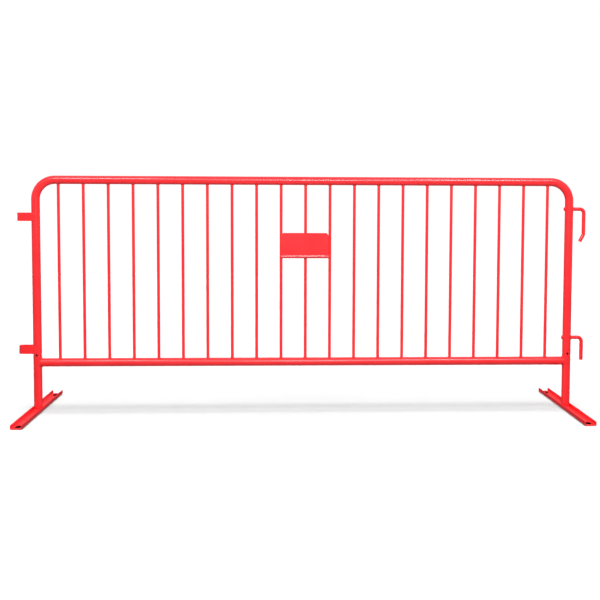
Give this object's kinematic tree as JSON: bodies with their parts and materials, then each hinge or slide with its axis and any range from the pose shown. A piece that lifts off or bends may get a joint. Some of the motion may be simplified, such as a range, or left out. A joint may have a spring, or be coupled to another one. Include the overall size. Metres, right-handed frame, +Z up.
{
  "type": "crowd control barrier",
  "caption": "Free-standing red steel crowd control barrier with round uprights, a blank sign plate, flat turning feet, hooks on one end and strap loops on the other.",
  "frame": {"origin": "on the floor, below the middle of the frame", "axes": "+X along the barrier towards the hooks, -Y towards the side with the sign plate, +Z up"},
  "size_m": [2.6572, 0.762, 1.095],
  "materials": {
    "red_powder_coat": "glossy red powder coat over steel tube, bar and sheet",
    "zinc_plated_steel": "bright zinc plate, drawn along the tube",
    "spring_steel": "dark tempered spring steel"
  },
  "bodies": {
    "frame": {"frame_tube": "red_powder_coat", "bottom_rail": "red_powder_coat", "sign_plate": "red_powder_coat", "upper_hook": "red_powder_coat", "lower_hook": "red_powder_coat", "upper_loop": "red_powder_coat", "lower_loop": "red_powder_coat", "upright_01": "red_powder_coat", "upright_02": "red_powder_coat", "upright_03": "red_powder_coat", "upright_04": "red_powder_coat", "upright_05": "red_powder_coat", "upright_06": "red_powder_coat", "upright_07": "red_powder_coat", "upright_08": "red_powder_coat", "upright_09": "red_powder_coat", "upright_10": "red_powder_coat", "upright_11": "red_powder_coat", "upright_12": "red_powder_coat", "upright_13": "red_powder_coat", "upright_14": "red_powder_coat", "upright_15": "red_powder_coat", "upright_16": "red_powder_coat", "upright_17": "red_powder_coat", "upright_18": "red_powder_coat", "upright_19": "red_powder_coat", "upright_20": "red_powder_coat", "upright_21": "red_powder_coat"},
    "left_foot": {"left_foot_channel": "red_powder_coat", "left_foot_stem": "red_powder_coat", "left_foot_spigot": "zinc_plated_steel", "left_leaf_spring": "spring_steel"},
    "left_button": {"left_snap_button": "spring_steel"},
    "right_foot": {"right_foot_channel": "red_powder_coat", "right_foot_stem": "red_powder_coat", "right_foot_spigot": "zinc_plated_steel", "right_leaf_spring": "spring_steel"},
    "right_button": {"right_snap_button": "spring_steel"}
  },
  "joints": [
    {"name": "left_foot_turn", "type": "hinge", "parent": "frame", "child": "left_foot", "pos_m": [-1.2475, 0, 0.204], "axis": [0, 0, 1], "range_deg": [-90, 0], "deforming": ["left_snap_button"]},
    {"name": "left_button_press", "type": "slide", "parent": "left_foot", "child": "left_button", "axis": [-1, 0, 0], "range_m": [0, 0.0031], "stiffness_N_per_m": 800, "deforming": ["left_leaf_spring"]},
    {"name": "right_foot_turn", "type": "hinge", "parent": "frame", "child": "right_foot", "pos_m": [1.2475, 0, 0.204], "axis": [0, 0, 1], "range_deg": [0, 90], "deforming": ["right_snap_button"]},
    {"name": "right_button_press", "type": "slide", "parent": "right_foot", "child": "right_button", "axis": [1, 0, 0], "range_m": [0, 0.0031], "stiffness_N_per_m": 800, "deforming": ["right_leaf_spring"]}
  ]
}
